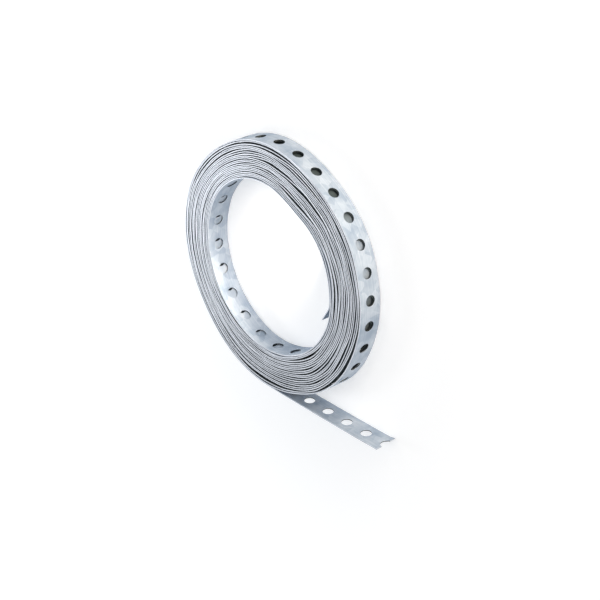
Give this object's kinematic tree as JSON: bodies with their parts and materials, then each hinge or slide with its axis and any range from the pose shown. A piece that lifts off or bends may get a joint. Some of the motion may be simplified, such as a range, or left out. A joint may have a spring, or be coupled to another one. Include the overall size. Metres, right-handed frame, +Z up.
{
  "type": "coil of perforated steel strap",
  "caption": "Coil of galvanised steel strap with a row of round holes along it, lying on its end, with its loose outer end running straight on from the coil.",
  "frame": {"origin": "on the floor, in the middle of the part's length and breadth", "axes": "+X along the loose end, away from the coil; +Y from the loose end across the coil; +Z up, along the coil's axis"},
  "size_m": [0.196, 0.178, 0.017],
  "materials": {
    "galvanised_steel": "satin"
  },
  "bodies": {
    "root": {"strap": "galvanised_steel"}
  },
  "joints": []
}
